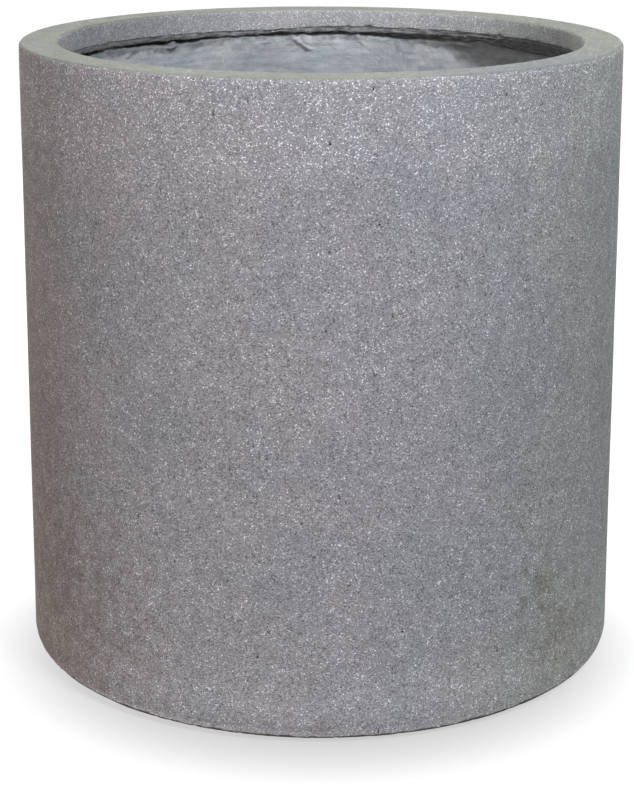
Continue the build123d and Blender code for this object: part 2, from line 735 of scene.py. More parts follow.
    def _sunk(self, mix: Recipe, across: Signal) -> Signal:
        """Finds the inside of the open pits, which lies just under the wall's and rim's surface.

        Args:
            mix: the finish that is being wired.
            across: distance from the axis.

        Returns:
            1 inside a pit and 0 elsewhere.
        """
        wall, rim = self.wall_radius, self.rim_height
        in_wall = across.band(wall - 4.5 * MM, wall - 4 * MM, wall - 1.1 * MM, wall - 0.8 * MM)
        in_wall = in_wall * mix.z.band(18 * MM, 20 * MM, rim - 5.5 * MM, rim - 4.5 * MM)
        mouth = self.mouth_radius
        in_rim = across.band(mouth + 3 * MM, mouth + 3.5 * MM, wall - 4.5 * MM, wall - 4 * MM)
        in_rim = in_rim * mix.z.band(rim - 4 * MM, rim - 3.5 * MM, rim - 0.8 * MM, rim - 0.6 * MM)
        return in_wall.most(in_rim)

    def _painted_foot_light(self, mix: Recipe, cloudy: Signal, across: Signal) -> Signal:
        """Painted light: a paler band above the foot, which stands for light that bounces up from the
        floor, and a paler foot, which offsets the shade on its rounding.

        Args:
            mix: the finish that is being wired.
            cloudy: broad noise.
            across: distance from the axis.

        Returns:
            How much brighter the face is.
        """
        bounce_band = (mix.z + cloudy.ramp(0.3, 0.7, 0.0, 8 * MM)).band(8 * MM, 18 * MM, 42 * MM, 66 * MM)
        lit_foot = mix.z.ramp(13.5 * MM, 5.0 * MM, 0.0, 0.85) * across.ramp(0.228, 0.240)
        return bounce_band * 0.07 + lit_foot

    def _foot_marks(self, mix: Recipe, body: Signal, mottle: Signal, across: Signal) -> Signal:
        """Paints a dark line round the bottom of the foot, and a small chip over it.

        Args:
            mix: the finish that is being wired.
            body: the face's colour.
            mottle: noise that makes the line uneven.
            across: distance from the axis.

        Returns:
            The colour with both marks.
        """
        low = mix.z + mottle.ramp(0.3, 0.7, -0.8 * MM, 1.2 * MM)
        low = low + abs(mix.x).ramp(0.08, 0.2, 0.0, -2.5 * MM)
        line = low.ramp(6.2 * MM, 4.6 * MM) * across.ramp(0.2385, 0.2415)
        body = mix.blend(line, body, self.foot_line)
        return mix.blend(mix.near(*self.foot_chip).ramp(1.0, 0.6, 0.0, 0.85), body, self.chip)


@dataclass(frozen=True)
class BackfillMix:
    """Coarse dark mix behind the lip, left as it was trowelled."""

    dark: Tone = (88, 89, 90)
    light: Tone = (148, 149, 151)
    chip: Tone = (215, 214, 210)
    shaded: Tone = (90, 92, 91)
    streak_size: Triple = (9 * MM, 9 * MM, 1.6 * MM)
    grit_size: float = 1.2 * MM
    chip_pitch: float = 2.6 * MM
    relief_depth: float = 0.5 * MM
    roughness: float = 0.9
    sheen: float = 0.3

    def material(self, name: str) -> bpy.types.Material:
        """Wires the finish.

        Args:
            name: the material's name.

        Returns:
            The material.
        """
        mix = Recipe(name)
        streak = mix.cloud(self.streak_size, 3, 0.6, 1.2)
        grit = mix.cloud(self.grit_size, 2, 0.7, 5.0)
        body = mix.blend(streak.ramp(0.35, 0.65), self.dark, self.light)
        side = mix.x.ramp(-0.09, -0.17).most(mix.x.ramp(0.150, 0.178))
        body = mix.blend(side * 0.6, body, self.shaded)
        body = mix.brighten(body, grit.ramp(0.2, 0.8, 0.75, 1.25))
        away, lot, _ = mix.grains(self.chip_pitch, 3.0)
        chip = lot.ramp(0.9, 0.92) * away.ramp(0.4, 0.28) * 0.6
        body = mix.blend(chip * side.ramp(0.0, 0.5, 1.0, 0.0), body, self.chip)
        return mix.finish(body, self.roughness, grit + streak, self.relief_depth, self.sheen)


@dataclass(frozen=True)
class BrushedLaminate:
    """Grey-blue coat brushed over glass-fibre mat.

    Attributes:
        strand_sizes: length, along each axis, of the strands that lie in each direction.
    """

    pale: Tone = (203, 205, 208)
    deep: Tone = (181, 187, 193)
    # tone of thin coat, also used for painted shade under the lip
    bare_and_shade: Tone = (104, 108, 110)
    # tone of the painted shadow of the lip on the lining
    lip_shadow_tone: Tone = (136, 138, 138)
    wash_size: float = 38 * MM
    brush_size: Triple = (16 * MM, 16 * MM, 5 * MM)
    speck_size: float = 1.5 * MM
    thin_size: float = 22 * MM
    smudge_size: Triple = (9 * MM, 9 * MM, 6 * MM)
    strand_sizes: tuple[Triple, ...] = (
        (26 * MM, 26 * MM, 1.3 * MM),
        (1.4 * MM, 18 * MM, 18 * MM),
        (16 * MM, 1.4 * MM, 9 * MM),
    )
    relief_depth: float = 0.35 * MM
    roughness: float = 0.6
    sheen: float = 0.4

    def material(self, name: str, shift: float) -> bpy.types.Material:
        """Wires the finish.

        Args:
            name: the material's name.
            shift: another number gives another pattern.

        Returns:
            The material.
        """
        mix = Recipe(name)
        wash = mix.cloud(self.wash_size, 3, 0.6, shift + 1.0)
        brush = mix.cloud(self.brush_size, 3, 0.6, shift + 2.0)
        speck = mix.cloud(self.speck_size, 2, 0.6, shift + 3.0)
        patches = mix.cloud(self.thin_size, 4, 0.65, shift + 4.0)
        smudge = mix.cloud(self.smudge_size, 3, 0.6, shift + 6.0)
        body = mix.blend(wash.ramp(0.35, 0.65), self.deep, self.pale)
        tone = brush.swing(0.07, 0.25, 0.75) + speck.swing(0.06, 0.2, 0.8)
        body = mix.brighten(body, tone + mix.x.ramp(-0.05, 0.01, -0.13, 0.09) + 1.0)
        # Thin patches of coat, and painted shade under the lip along the upper edge, take the darker
        # tone.
        thin_coat_and_shade = (patches.ramp(0.60, 0.72) * 0.35).most(self._painted_edge_shade(mix, smudge))
        body = mix.blend(thin_coat_and_shade, body, self.bare_and_shade)
        # Painted shadow of the lip on the lining, right of the far side.
        lip_shadow = mix.brighten(self.lip_shadow_tone, smudge.ramp(0.35, 0.65, 0.78, 1.3))
        body = mix.blend(self._painted_lip_shadow(mix, wash), body, lip_shadow)
        height = brush * 0.6 + self._strands(mix, shift) * 0.5 + speck * 0.2
        rough = brush.ramp(0.3, 0.7, self.roughness - 0.08, self.roughness + 0.12)
        return mix.finish(body, rough, height, self.relief_depth, self.sheen)

    def _painted_edge_shade(self, mix: Recipe, smudge: Signal) -> Signal:
        """Finds the painted shade on the lining under the lip: along its upper edge, deeper left and
        right of the middle, and on its upward-facing ledges.

        Args:
            mix: the finish that is being wired.
            smudge: noise that makes the edge uneven.

        Returns:
            1 in the painted shade and 0 on the coat.
        """
        deeper = abs(mix.x + 0.01).ramp(0.06, 0.12, 0.0, 6 * MM)
        high = mix.z + (deeper + smudge.ramp(0.35, 0.65, -1.5 * MM, 2 * MM))
        ledge = mix.facing_up().ramp(0.2, 0.6) * mix.z.ramp(0.478, 0.482)
        return high.ramp(0.488, 0.495, 0.0, 0.85).most(ledge)

    def _painted_lip_shadow(self, mix: Recipe, wash: Signal) -> Signal:
        """Finds the painted shadow of the lip on the lining, right of the far side, with a soft diagonal
        edge.

        Args:
            mix: the finish that is being wired.
            wash: noise that makes the patch's edge uneven.

        Returns:
            How much of the painted shadow's tone shows.
        """
        slope = mix.z + mix.x * 0.64 + wash.swing(5 * MM)
        far_side = mix.y.ramp(0.02, 0.06) * mix.x.ramp(0.05, 0.1)
        return slope.ramp(0.554, 0.562) * far_side * 0.8

    def _strands(self, mix: Recipe, shift: float) -> Signal:
        """Fibre strands under the coat, in three directions.

        Args:
            mix: the finish that is being wired.
            shift: another number gives another pattern.

        Returns:
            1 on a strand and 0 beside it.
        """
        first, second, third = (
            mix.cloud(size, 1, 0.5, shift + 10 + turn).ramp(0.56, 0.6)
            for turn, size in enumerate(self.strand_sizes)
        )
        return first.most(second).most(third)


@dataclass(frozen=True)
class BungRubber:
    """Black rubber, dulled by dust and handling."""

    rubber: Tone = (34, 34, 36)
    dust: Tone = (96, 93, 88)
    dust_size: float = 6 * MM
    grain_size: float = 0.7 * MM
    relief_depth: float = 0.06 * MM
    roughness: float = 0.62
    dusty_roughness: float = 0.85
    sheen: float = 0.45

    def material(self, name: str) -> bpy.types.Material:
        """Wires the finish.

        Args:
            name: the material's name.

        Returns:
            The material.
        """
        mix = Recipe(name)
        dusty = mix.cloud(self.dust_size, 4, 0.65, 2.0).ramp(0.42, 0.7) * mix.facing_up().ramp(0.2, 0.9)
        body = mix.blend(dusty * 0.55, self.rubber, self.dust)
        rough = dusty.ramp(0.0, 1.0, self.roughness, self.dusty_roughness)
        grain = mix.cloud(self.grain_size, 2, 0.6, 4.0)
        return mix.finish(body, rough, grain, self.relief_depth, self.sheen)


@dataclass
class Piece(ABC):
    """One piece of the planter, which stands for a node of the construction model.

    Attributes:
        node: the node that it stands for.
        body: what it moves with.
        slot: the finish that it takes; not used.
    """

    node: str
    body: Body
    slot: Slot

    @abstractmethod
    def skin(self) -> bpy.types.Mesh:
        """Makes the piece's mesh."""

    @abstractmethod
    def finish(self) -> bpy.types.Material:
        """Makes the piece's finish."""

    def build(self) -> bpy.types.Object:
        """Makes, dresses and places the piece.

        Returns:
            The piece, which moves with its body.
        """
        mesh = self.skin()
        mesh.materials.append(self.finish())
        piece = bpy.data.objects.new(mesh.name, mesh)
        bpy.context.scene.collection.objects.link(piece)
        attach(piece, self.body.value)
        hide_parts(self.node)
        return piece


@dataclass
class FaceShell(Piece):
    """Cast face: hollowed base, rounded foot, wall, rubbed rim and the lip in the mouth.

    Attributes:
        wave_depth: of the wall's broad unevenness.
        ripple_depth: of its finer unevenness.
        foot_wear: how much the foot has worn and crumbled away.
        lip_wear: the same for the lip.
        top_wear: the same for the rim's top.
        lip_drop: how much lower the lip hangs at the far left.
        drop_span: where it does, in degrees round the axis from +X towards +Y.
        tear_height: how far the lip's lower edge is torn.
    """

    node: str = "face_shell"
    body: Body = Body.PLANTER
    slot: Slot = Slot.FACE
    wall_radius: float = 250 * MM
    height: float = 518 * MM
    rim_width: float = 32.5 * MM
    lip_depth: float = 16.5 * MM
    lip_thickness: float = 5 * MM
    thickness: float = 5 * MM
    foot_rounding: float = 15 * MM
    rim_rounding: float = 3.2 * MM
    mouth_rounding: float = 2.4 * MM
    foot_ring_width: float = 30 * MM
    recess_depth: float = 4 * MM
    recess_slope: float = 3 * MM
    drain_radius: float = 12.5 * MM
    wave_depth: float = 0.22 * MM
    ripple_depth: float = 0.05 * MM
    foot_wear: tuple[float, float] = (0.25 * MM, 1.1 * MM)
    lip_wear: tuple[float, float] = (0.15 * MM, 0.5 * MM)
    top_wear: tuple[float, float] = (0.1 * MM, 0.07 * MM)
    lip_drop: float = 2.8 * MM
    drop_span: Span = (88, 104, 170, 186)
    tear_height: tuple[float, float] = (0.5 * MM, 0.6 * MM)
    segments: int = 600
    pit_count: int = 420

    def section(self) -> Section:
        """Draws the half-section of the cast face.

        Returns:
            The half-section.
        """
        mouth = self.wall_radius - self.rim_width
        back = self.wall_radius - self.thickness
        recess = self.wall_radius - self.foot_rounding - self.foot_ring_width
        lip_foot = self.height - self.lip_depth
        floor = self.recess_depth + self.thickness
        corner = self.foot_rounding - self.thickness
        return Section(
            corners=[
                (self.drain_radius, self.recess_depth, 1.0 * MM),
                (recess, self.recess_depth, 1.5 * MM),
                (recess + self.recess_slope, 0, 1.5 * MM),
                (self.wall_radius, 0, self.foot_rounding),
                (self.wall_radius, self.height, self.rim_rounding),
                (mouth, self.height, self.mouth_rounding),
                (mouth, lip_foot, 0.8 * MM),
                (mouth + self.lip_thickness, lip_foot, 0),
                (mouth + self.lip_thickness, self.height - self.thickness, 0),
                (back, self.height - self.thickness, 0),
                (back, floor + corner, 0),
                (back - corner, floor, 0),
                (self.drain_radius, floor, 0),
            ],
            steps=[16, 4, 5, 10, 3, 2.5, 2, 10, 20, 160, 20, 80, 5],
        )

    def skin(self) -> bpy.types.Mesh:
        """Makes the skin with its hand-cast unevenness, chipped foot, torn lip and open pits.

        Returns:
            The skin's mesh.
        """
        skin = TurnedSkin(self.section(), self.segments)
        mouth, lip_foot = self.wall_radius - self.rim_width, self.height - self.lip_depth
        outer = smooth(self.wall_radius - 2 * MM, self.wall_radius - 0.5 * MM, skin.radius)
        foot = smooth(16 * MM, 2 * MM, skin.height) * smooth(200 * MM, 232 * MM, skin.radius)
        top = smooth(self.height - 4 * MM, self.height - 1 * MM, skin.height)
        lip = smooth(mouth + 2 * MM, mouth + 0.5 * MM, skin.radius)
        lip = lip * smooth(lip_foot - 1.5 * MM, lip_foot, skin.height)
        waves = 1 + relief(skin.places, 90 * MM, 2)
        ripples = 1 + relief(skin.places + 5, 18 * MM)
        crumbs = relief(skin.places + 9, 7 * MM)
        skin.push(
            -outer * (self.wave_depth * waves + self.ripple_depth * ripples)
            - top * (self.top_wear[0] * waves + self.top_wear[1] * ripples)
            - foot * (self.foot_wear[0] * ripples + self.foot_wear[1] * smooth(0.25, 0.7, crumbs))
            - lip * (self.lip_wear[0] * ripples + self.lip_wear[1] * smooth(0.3, 0.7, crumbs))
        )
        torn = lip * smooth(lip_foot + 2.5 * MM, lip_foot, skin.height)
        skin.places[:, 2] -= torn * self.lip_drop * band(self.drop_span, np.degrees(skin.angle))
        tears = 1 + relief(skin.places + 13, (14 * MM, 14 * MM, 50 * MM))
        rise = self.tear_height[0] * tears + self.tear_height[1] * smooth(0.2, 0.8, crumbs)
        skin.places[:, 2] += torn * rise
        mesh = skin.mesh("cast_face")
        self._open_pits(mesh)
        return mesh

    def _open_pits(self, mesh: bpy.types.Mesh) -> None:
        """Sinks small open pits, where air was caught in the mix, into the wall and the rim.

        Args:
            mesh: the skin, which is changed.
        """
        draw = random.Random(41)
        work = bmesh.new()
        work.from_mesh(mesh)
        work.faces.ensure_lookup_table()
        open_to_sight = []
        for face in work.faces:
            middle = face.calc_center_median()
            on_wall = middle.xy.length > self.wall_radius - 2 * MM
            on_wall = on_wall and 30 * MM < middle.z < self.height - 6 * MM
            if on_wall or (face.normal.z > 0.97 and middle.z > self.height - 1 * MM):
                open_to_sight.append(face.index)
        chosen = [work.faces[i] for i in sorted(draw.sample(open_to_sight, self.pit_count))]
        for face in chosen:
            self._sink(work, face, draw)
        bmesh.ops.delete(work, geom=chosen, context="FACES_ONLY")
        work.to_mesh(mesh)
        work.free()

    def _sink(self, work: bmesh.types.BMesh, face: bmesh.types.BMFace, draw: random.Random) -> None:
        """Sinks one pit: an uneven eight-sided hole with a smaller floor.

        Args:
            work: the skin being edited.
            face: the four-sided face that the pit takes the place of.
            draw: where its size and shape are drawn from.
        """
        middle, facing = face.calc_center_median(), face.normal.copy()
        corners = list(face.verts)
        across = min(edge.calc_length() for edge in face.edges)
        size = min(draw.triangular(0.45, 1.2, 0.65) * MM, across * 0.44)
        mouth, bottom = [], []
        for index, corner in enumerate(corners):
            after = corners[(index + 1) % 4].co
            for aim in (corner.co - middle, (corner.co + after) / 2 - middle):
                reach = aim.normalized() * size * draw.uniform(0.75, 1.2)
                mouth.append(work.verts.new(middle + reach))
                bottom.append(work.verts.new(middle + reach * 0.7 - facing * draw.uniform(1.2, 1.6) * MM))
        faces = []
        for side in range(4):
            first, second, third = (mouth[(2 * side + k) % 8] for k in range(3))
            faces.append(work.faces.new((corners[side], corners[(side + 1) % 4], third, second, first)))
        for step in range(8):
            after = (step + 1) % 8
            faces.append(work.faces.new((mouth[step], mouth[after], bottom[after], bottom[step])))
        faces.append(work.faces.new(bottom))
        for new_face in faces:
            new_face.smooth = True

    def finish(self) -> bpy.types.Material:
        """The speckled cast face with its rubbed rim."""
        return FaceMix().material("face_mix")


@dataclass
class RimBackfill(Piece):
    """Coarse mix behind the lip, with the raw bead that hangs below it.

    Attributes:
        undercut: distance and height of the corner behind the bead.
        ledge: distance and height of the corner over the wall lining.
        bead_relief: height of the bead's streaks, lumps and grit.
        drop_length: how far its drops reach down.
        drop: how much lower the bead hangs at the far left.
        drop_span: where it does, in degrees round the axis from +X towards +Y.
        lift: how much shallower it is at the right.
        lift_span: where it is.
    """

    node: str = "rim_backfill"
    body: Body = Body.PLANTER
    slot: Slot = Slot.BACKFILL
    bead_face: float = 218.5 * MM
    lip_back: float = 222.5 * MM
    wall_back: float = 245 * MM
    lip_foot: float = 501.5 * MM
    bead_foot: float = 496 * MM
    rim_back: float = 513 * MM
    mix_foot: float = 420 * MM
    undercut: tuple[float, float] = (225.5 * MM, 498.5 * MM)
    ledge: tuple[float, float] = (227.5 * MM, 495 * MM)
    bead_relief: Triple = (0.35 * MM, 0.8 * MM, 0.3 * MM)
    drop_length: float = 1.1 * MM
    drop: float = 2.6 * MM
    drop_span: Span = (96, 112, 168, 182)
    lift: float = 2.8 * MM
    lift_span: Span = (-10, 6, 44, 54)
    segments: int = 900

    def skin(self) -> bpy.types.Mesh:
        """Makes the mix with its torn, streaked bead.

        Returns:
            The skin's mesh.
        """
        bead_top = self.lip_foot + 0.6 * MM
        section = Section(
            corners=[
                (*self.ledge, 0),
                (self.wall_back, self.mix_foot, 0),
                (self.wall_back, self.rim_back, 0),
                (self.lip_back, self.rim_back, 0),
                (self.lip_back, bead_top, 0),
                (self.bead_face, bead_top, 0.4 * MM),
                (self.bead_face, self.bead_foot, 1.6 * MM),
                (*self.undercut, 0.8 * MM),
            ],
            steps=[40, 50, 30, 12, 1, 0.6, 0.9, 1.2],
        )
        skin = TurnedSkin(section, self.segments)
        shown = smooth(226.2 * MM, 224.5 * MM, skin.radius)
        shown = shown * smooth(self.lip_foot + 1.3 * MM, self.lip_foot + 0.3 * MM, skin.height)
        streaks = relief(skin.places, (16 * MM, 16 * MM, 1.6 * MM))
        lumps = relief(skin.places + 3, 12 * MM)
        grit = relief(skin.places + 7, 2.2 * MM, 2)
        streaked, lumpy, gritty = self.bead_relief
        skin.push(shown * (streaked * streaks + lumpy * lumps + gritty * grit))
        low = smooth(self.bead_foot + 3.5 * MM, self.bead_foot, skin.height) * shown
        drops = relief(skin.places + 11, (9 * MM, 9 * MM, 50 * MM))
        turn = np.degrees(skin.angle)
        deep = band(self.drop_span, turn)
        shallow = band(self.lift_span, turn)
        sagged = self.drop_length * drops * (1 - 0.5 * shallow) - self.drop * deep + self.lift * shallow
        skin.places[:, 2] += low * sagged
        return skin.mesh("rim_mix")

    def finish(self) -> bpy.types.Material:
        """The coarse dark mix."""
        return BackfillMix().material("backfill_mix")


@dataclass(frozen=True)
class Drip:
    """A lump of resin or a turned-down tab of mat at the lining's upper edge, in millimetres.

    Attributes:
        azimuth: where it is round the axis, in degrees from +X towards +Y.
        top: the height of its upper end.
        width: half its width.
        length: how far it runs down.
        proud: how far it stands off the lining.
        lean: how far its lower end lies to one side, in degrees round the axis.
    """

    azimuth: float
    top: float
    width: float
    length: float
    proud: float
    lean: float

    def height_at(self, angle: np.ndarray, height: np.ndarray, radius: float) -> np.ndarray:
        """How far the lump stands off the lining.

        Args:
            angle: each point's angle round the axis, in radians.
            height: each point's height.
            radius: the lining's radius there.

        Returns:
            A height for each point, in metres.
        """
        down = (self.top * MM - height) / (self.length * MM)
        middle = math.radians(self.azimuth) + math.radians(self.lean) * np.clip(down, 0, 1)
        aside = (angle - middle + math.pi) % (2 * math.pi) - math.pi
        spread = np.exp(-((aside * radius / (self.width * MM)) ** 2))
        run = band((-0.15, 0.15, 0.85, 1.1), down) * (0.55 + 0.45 * np.clip(down, 0, 1))
        return self.proud * MM * spread * run


@dataclass
class WallLining(Piece):
    """Laminate on the wall, with the sagging, lumpy upper edge of its sheets.

    Attributes:
        sags: how far each sheet's edge hangs down at its middle.
        raggedness: how far the edge is torn down.
        coat_relief: height of the broad lumps, the lumps and the brush marks.
        curl_height: height of the curled fibres near the edge.
        fullness: how far the lining stands proud at the far side.
        full_span: where it does, in degrees round the axis from +X towards +Y.
        hollow: how far it lies back at the right of the far side.
        hollow_span: where it does.
    """

    node: str = "wall_lining"
    body: Body = Body.PLANTER
    slot: Slot = Slot.LAMINATE
    top_radius: float = 223.5 * MM
    top: float = 495 * MM
    thickness: float = 4 * MM
    face: float = 241 * MM
    back: float = 245 * MM
    knee: float = 420 * MM
    foot: float = 15 * MM
    corner_top: float = 19 * MM
    sags: tuple[float, ...] = tuple(x * MM for x in (3, 6, 3, 1.6, 5, 6, 3, 6, 3, 6, 3))
    raggedness: float = 0.9 * MM
    coat_relief: Triple = (0.9 * MM, 0.6 * MM, 0.16 * MM)
    curl_height: float = 0.8 * MM
    fullness: float = 2.8 * MM
    full_span: Span = (52, 64, 148, 158)
    hollow: float = 1.8 * MM
    hollow_span: Span = (12, 24, 48, 60)
    segments: int = 720
    drips: tuple[Drip, ...] = (
        Drip(97.2, 495.5, 1.8, 14, 3.2, -5.0),
        Drip(94.6, 495, 2.6, 7, 2.2, -1.5),
        Drip(81.2, 495.5, 1.4, 9, 2.0, -1.6),
        Drip(103.0, 494, 2.2, 5, 1.5, 0.6),
        Drip(115.0, 494, 3.0, 5, 1.2, -0.6),
        Drip(127.5, 495.5, 4.0, 2.6, 4.4, 1.0),
        Drip(140.0, 494, 3.0, 8, 2.0, 1.6),
        Drip(150.5, 492, 3.4, 9, 3.2, -1.5),
        Drip(71.5, 494, 2.0, 6, 1.2, -0.8),
        Drip(56.0, 495, 6.0, 5, 3.0, -2.0),
        Drip(47.0, 495, 5.0, 4, 3.4, -1.0),
        Drip(36.0, 494, 4.0, 6, 2.6, 1.0),
    )

    @property
    def slope(self) -> float:
        """How far the lining leans in for each metre up, above the knee."""
        return (self.face - self.top_radius) / (self.top - self.knee)

    def skin(self) -> bpy.types.Mesh:
        """Makes the lining with its sheets' edges, drips and brush marks.

        Returns:
            The skin's mesh.
        """
        section = Section(
            corners=[
                (self.face, self.foot, 0),
                (self.back, self.corner_top, 0),
                (self.back, self.knee, 0),
                (self.top_radius + self.thickness, self.top, 1.2 * MM),
                (self.top_radius, self.top, 1.8 * MM),
                (self.face, self.knee, 60 * MM),
            ],
            steps=[4, 130, 30, 1.2, 1.6, 7.5],
            arc_step=math.radians(6),
        )
        skin = TurnedSkin(section, self.segments)
        ragged = relief(skin.places * np.array((1, 1, 0)), 11 * MM)
        drop = self._sag(skin.angle) + self.raggedness * (1 + ragged)
        drop = drop * smooth(462 * MM, self.top, skin.height)
        skin.push(self._relief(skin) * self._inner_share(skin))
        skin.places[:, 0] += np.cos(skin.angle) * drop * self.slope
        skin.places[:, 1] += np.sin(skin.angle) * drop * self.slope
        skin.places[:, 2] -= drop
        return skin.mesh("wall_laminate")

    def _sag(self, angle: np.ndarray) -> np.ndarray:
        """How far the upper edge hangs below its highest line.

        Args:
            angle: each point's angle round the axis, in radians.

        Returns:
            A length for each point.
        """
        sheet = 2 * math.pi / len(self.sags)
        number = np.round(angle / sheet).astype(int)
        along = (angle - number * sheet) / (sheet / 2)
        return np.array(self.sags)[number % len(self.sags)] * (1 - along**2)

    def _inner_share(self, skin: TurnedSkin) -> np.ndarray:
        """Tells the side of the lining that shows from the side against the face.

        Args:
            skin: the lining's skin.

        Returns:
            1 for each point of the side that shows, and 0 for the others.
        """
        line = self.face - np.maximum(skin.height - self.knee, 0) * self.slope
        return smooth(3.2 * MM, 1.8 * MM, skin.radius - line)

    def _relief(self, skin: TurnedSkin) -> np.ndarray:
        """Height of the lumps, drips and brush marks.

        Args:
            skin: the lining's skin, not yet moved.

        Returns:
            A height for each point.
        """
        upper = smooth(90 * MM, 130 * MM, skin.height)
        near_edge = smooth(470 * MM, 492 * MM, skin.height)
        broad = relief(skin.places + 2, 55 * MM, 2)
        lumps = relief(skin.places + 4, 16 * MM)
        brush = relief(skin.places + 6, (50 * MM, 50 * MM, 4.5 * MM), 2)
        curls = relief(skin.places + 8, 9 * MM)
        swollen, lumpy, brushed = self.coat_relief
        height = swollen * broad + lumpy * lumps + brushed * brush + near_edge * self.curl_height * curls
        height = height * (0.25 + 0.75 * upper)
        for drip in self.drips:
            height = height + drip.height_at(skin.angle, skin.height, self.top_radius)
        turn = np.degrees(skin.angle)
        height = height + smooth(66, 50, turn) * near_edge * 0.9 * MM * lumps
        full = band(self.full_span, turn) * smooth(370 * MM, 475 * MM, skin.height)
        hollow = band(self.hollow_span, turn) * smooth(440 * MM, 485 * MM, skin.height)
        return height + self.fullness * full - self.hollow * hollow

    def finish(self) -> bpy.types.Material:
        """The brushed grey-blue coat."""
        return BrushedLaminate().material("laminate_wall", 0.0)


@dataclass
class FloorLining(Piece):
    """Laminate on the floor, turned up over the foot of the wall lining.

    Attributes:
        resin_relief: height of the broad lumps, the lumps and the resin's mean depth.
        raggedness: how far the upturn's edge is torn down.
    """

    node: str = "floor_lining"
    body: Body = Body.PLANTER
    slot: Slot = Slot.LAMINATE
    drain_radius: float = 12.5 * MM
    under: float = 9 * MM
    top: float = 15 * MM
    bevel_radius: float = 235 * MM
    face: float = 241 * MM
    upturn_face: float = 237.5 * MM
    upturn_top: float = 80 * MM
    cove: float = 14 * MM
    resin_relief: Triple = (0.6 * MM, 0.3 * MM, 0.3 * MM)
    raggedness: float = 3.5 * MM
    segments: int = 540

    def skin(self) -> bpy.types.Mesh:
        """Makes the floor with its pooled resin and the ragged top of the upturn.

        Returns:
            The skin's mesh.
        """
        section = Section(
            corners=[
                (self.drain_radius, self.under, 0),
                (self.bevel_radius, self.under, 0),
                (self.face, self.top, 0),
                (self.face, self.upturn_top, 0),
                (self.upturn_face, self.upturn_top, 1.0 * MM),
                (self.upturn_face, self.top, self.cove),
                (self.drain_radius, self.top, 1.0 * MM),
            ],
            steps=[60, 6, 20, 2, 3, 4, 3],
            arc_step=math.radians(10),
        )
        skin = TurnedSkin(section, self.segments)
        shown = smooth(self.top - 1.5 * MM, self.top - 0.5 * MM, skin.height)
        shown = shown * smooth(self.face - 0.4 * MM, self.face - 2 * MM, skin.radius)
        beside_bung = smooth(20 * MM, 27 * MM, skin.radius)
        broad = relief(skin.places, 60 * MM, 2)
        lumps = relief(skin.places + 4, 14 * MM)
        swollen, lumpy, pooled = self.resin_relief
        skin.push(shown * beside_bung * (swollen * broad + lumpy * lumps + pooled))
        ragged = relief(skin.places * np.array((1, 1, 0)) + 5, 20 * MM)
        edge = smooth(50 * MM, self.upturn_top, skin.height)
        skin.places[:, 2] -= edge * self.raggedness * (1 + ragged)
        return skin.mesh("floor_laminate")

    def finish(self) -> bpy.types.Material:
        """The brushed grey-blue coat."""
        return BrushedLaminate().material("laminate_floor", 20.0)


@dataclass
class DrainPlug(Piece):
    """Rubber bung: dished head with a moulded ring, ribbed stem and eased edges.

    Attributes:
        ring: outer and inner distance of the moulded ring from the axis.
        pin: radius of the hole that a turned section leaves at the axis, which is then closed.
    """

    node: str = "drain_plug"
    body: Body = Body.PLUG
    slot: Slot = Slot.RUBBER
    stem_radius: float = 11.65 * MM
    rib_radius: float = 12.45 * MM
    rib_foot: float = 8.25 * MM
    rib_top: float = 11.25 * MM
    head_radius: float = 19 * MM
    seat: float = 15 * MM
    head_top: float = 19.5 * MM
    tip: float = 4.5 * MM
    ring: tuple[float, float] = (14 * MM, 12.2 * MM)
    ring_depth: float = 0.5 * MM
    ring_slope: float = 0.4 * MM
    dish_radius: float = 9 * MM
    dish_depth: float = 1.0 * MM
    pin: float = 0.4 * MM
    segments: int = 128

    def skin(self) -> bpy.types.Mesh:
        """Makes the bung, closed at the axis above and below.

        Returns:
            The skin's mesh.
        """
        outer, inner = self.ring
        ring_floor = self.head_top - self.ring_depth
        section = Section(
            corners=[
                (self.pin, self.tip, 0),
                (self.stem_radius, self.tip, 1.2 * MM),
                (self.stem_radius, self.rib_foot, 0.2 * MM),
                (self.rib_radius, self.rib_foot, 0.6 * MM),
                (self.rib_radius, self.rib_top, 0.6 * MM),
                (self.stem_radius, self.rib_top, 0.2 * MM),
                (self.stem_radius, self.seat, 0),
                (self.head_radius, self.seat, 0.4 * MM),
                (self.head_radius, self.head_top, 1.4 * MM),
                (outer, self.head_top, 0.3 * MM),
                (outer - self.ring_slope, ring_floor, 0.2 * MM),
                (inner + self.ring_slope, ring_floor, 0.2 * MM),
                (inner, self.head_top, 0.3 * MM),
                (self.dish_radius, self.head_top, 0.8 * MM),
                (self.dish_radius - 1.5 * MM, self.head_top - self.dish_depth, 1.0 * MM),
                (self.pin, self.head_top - self.dish_depth, 0),
            ],
            steps=[3, 2, 1, 1.5, 1, 2, 3, 2, 1, 0.5, 0.5, 0.5, 1, 1, 2, 30],
            arc_step=math.radians(22),
        )
        mesh = TurnedSkin(section, self.segments).mesh("rubber_bung")
        self._close_axis(mesh)
        return mesh

    def _close_axis(self, mesh: bpy.types.Mesh) -> None:
        """Closes the pin hole at the axis.

        Args:
            mesh: the bung's skin, which is changed.
        """
        work = bmesh.new()
        work.from_mesh(mesh)
        tube = [f for f in work.faces if max(v.co.xy.length for v in f.verts) < self.pin * 1.01]
        bmesh.ops.delete(work, geom=tube, context="FACES_ONLY")
        rims = [e for e in work.edges if e.is_boundary]
        bmesh.ops.holes_fill(work, edges=rims, sides=0)
        for face in work.faces:
            face.smooth = True
        bmesh.ops.recalc_face_normals(work, faces=work.faces)
        work.to_mesh(mesh)
        work.free()

    def finish(self) -> bpy.types.Material:
        """Dusty black rubber."""
        return BungRubber().material("bung_rubber")


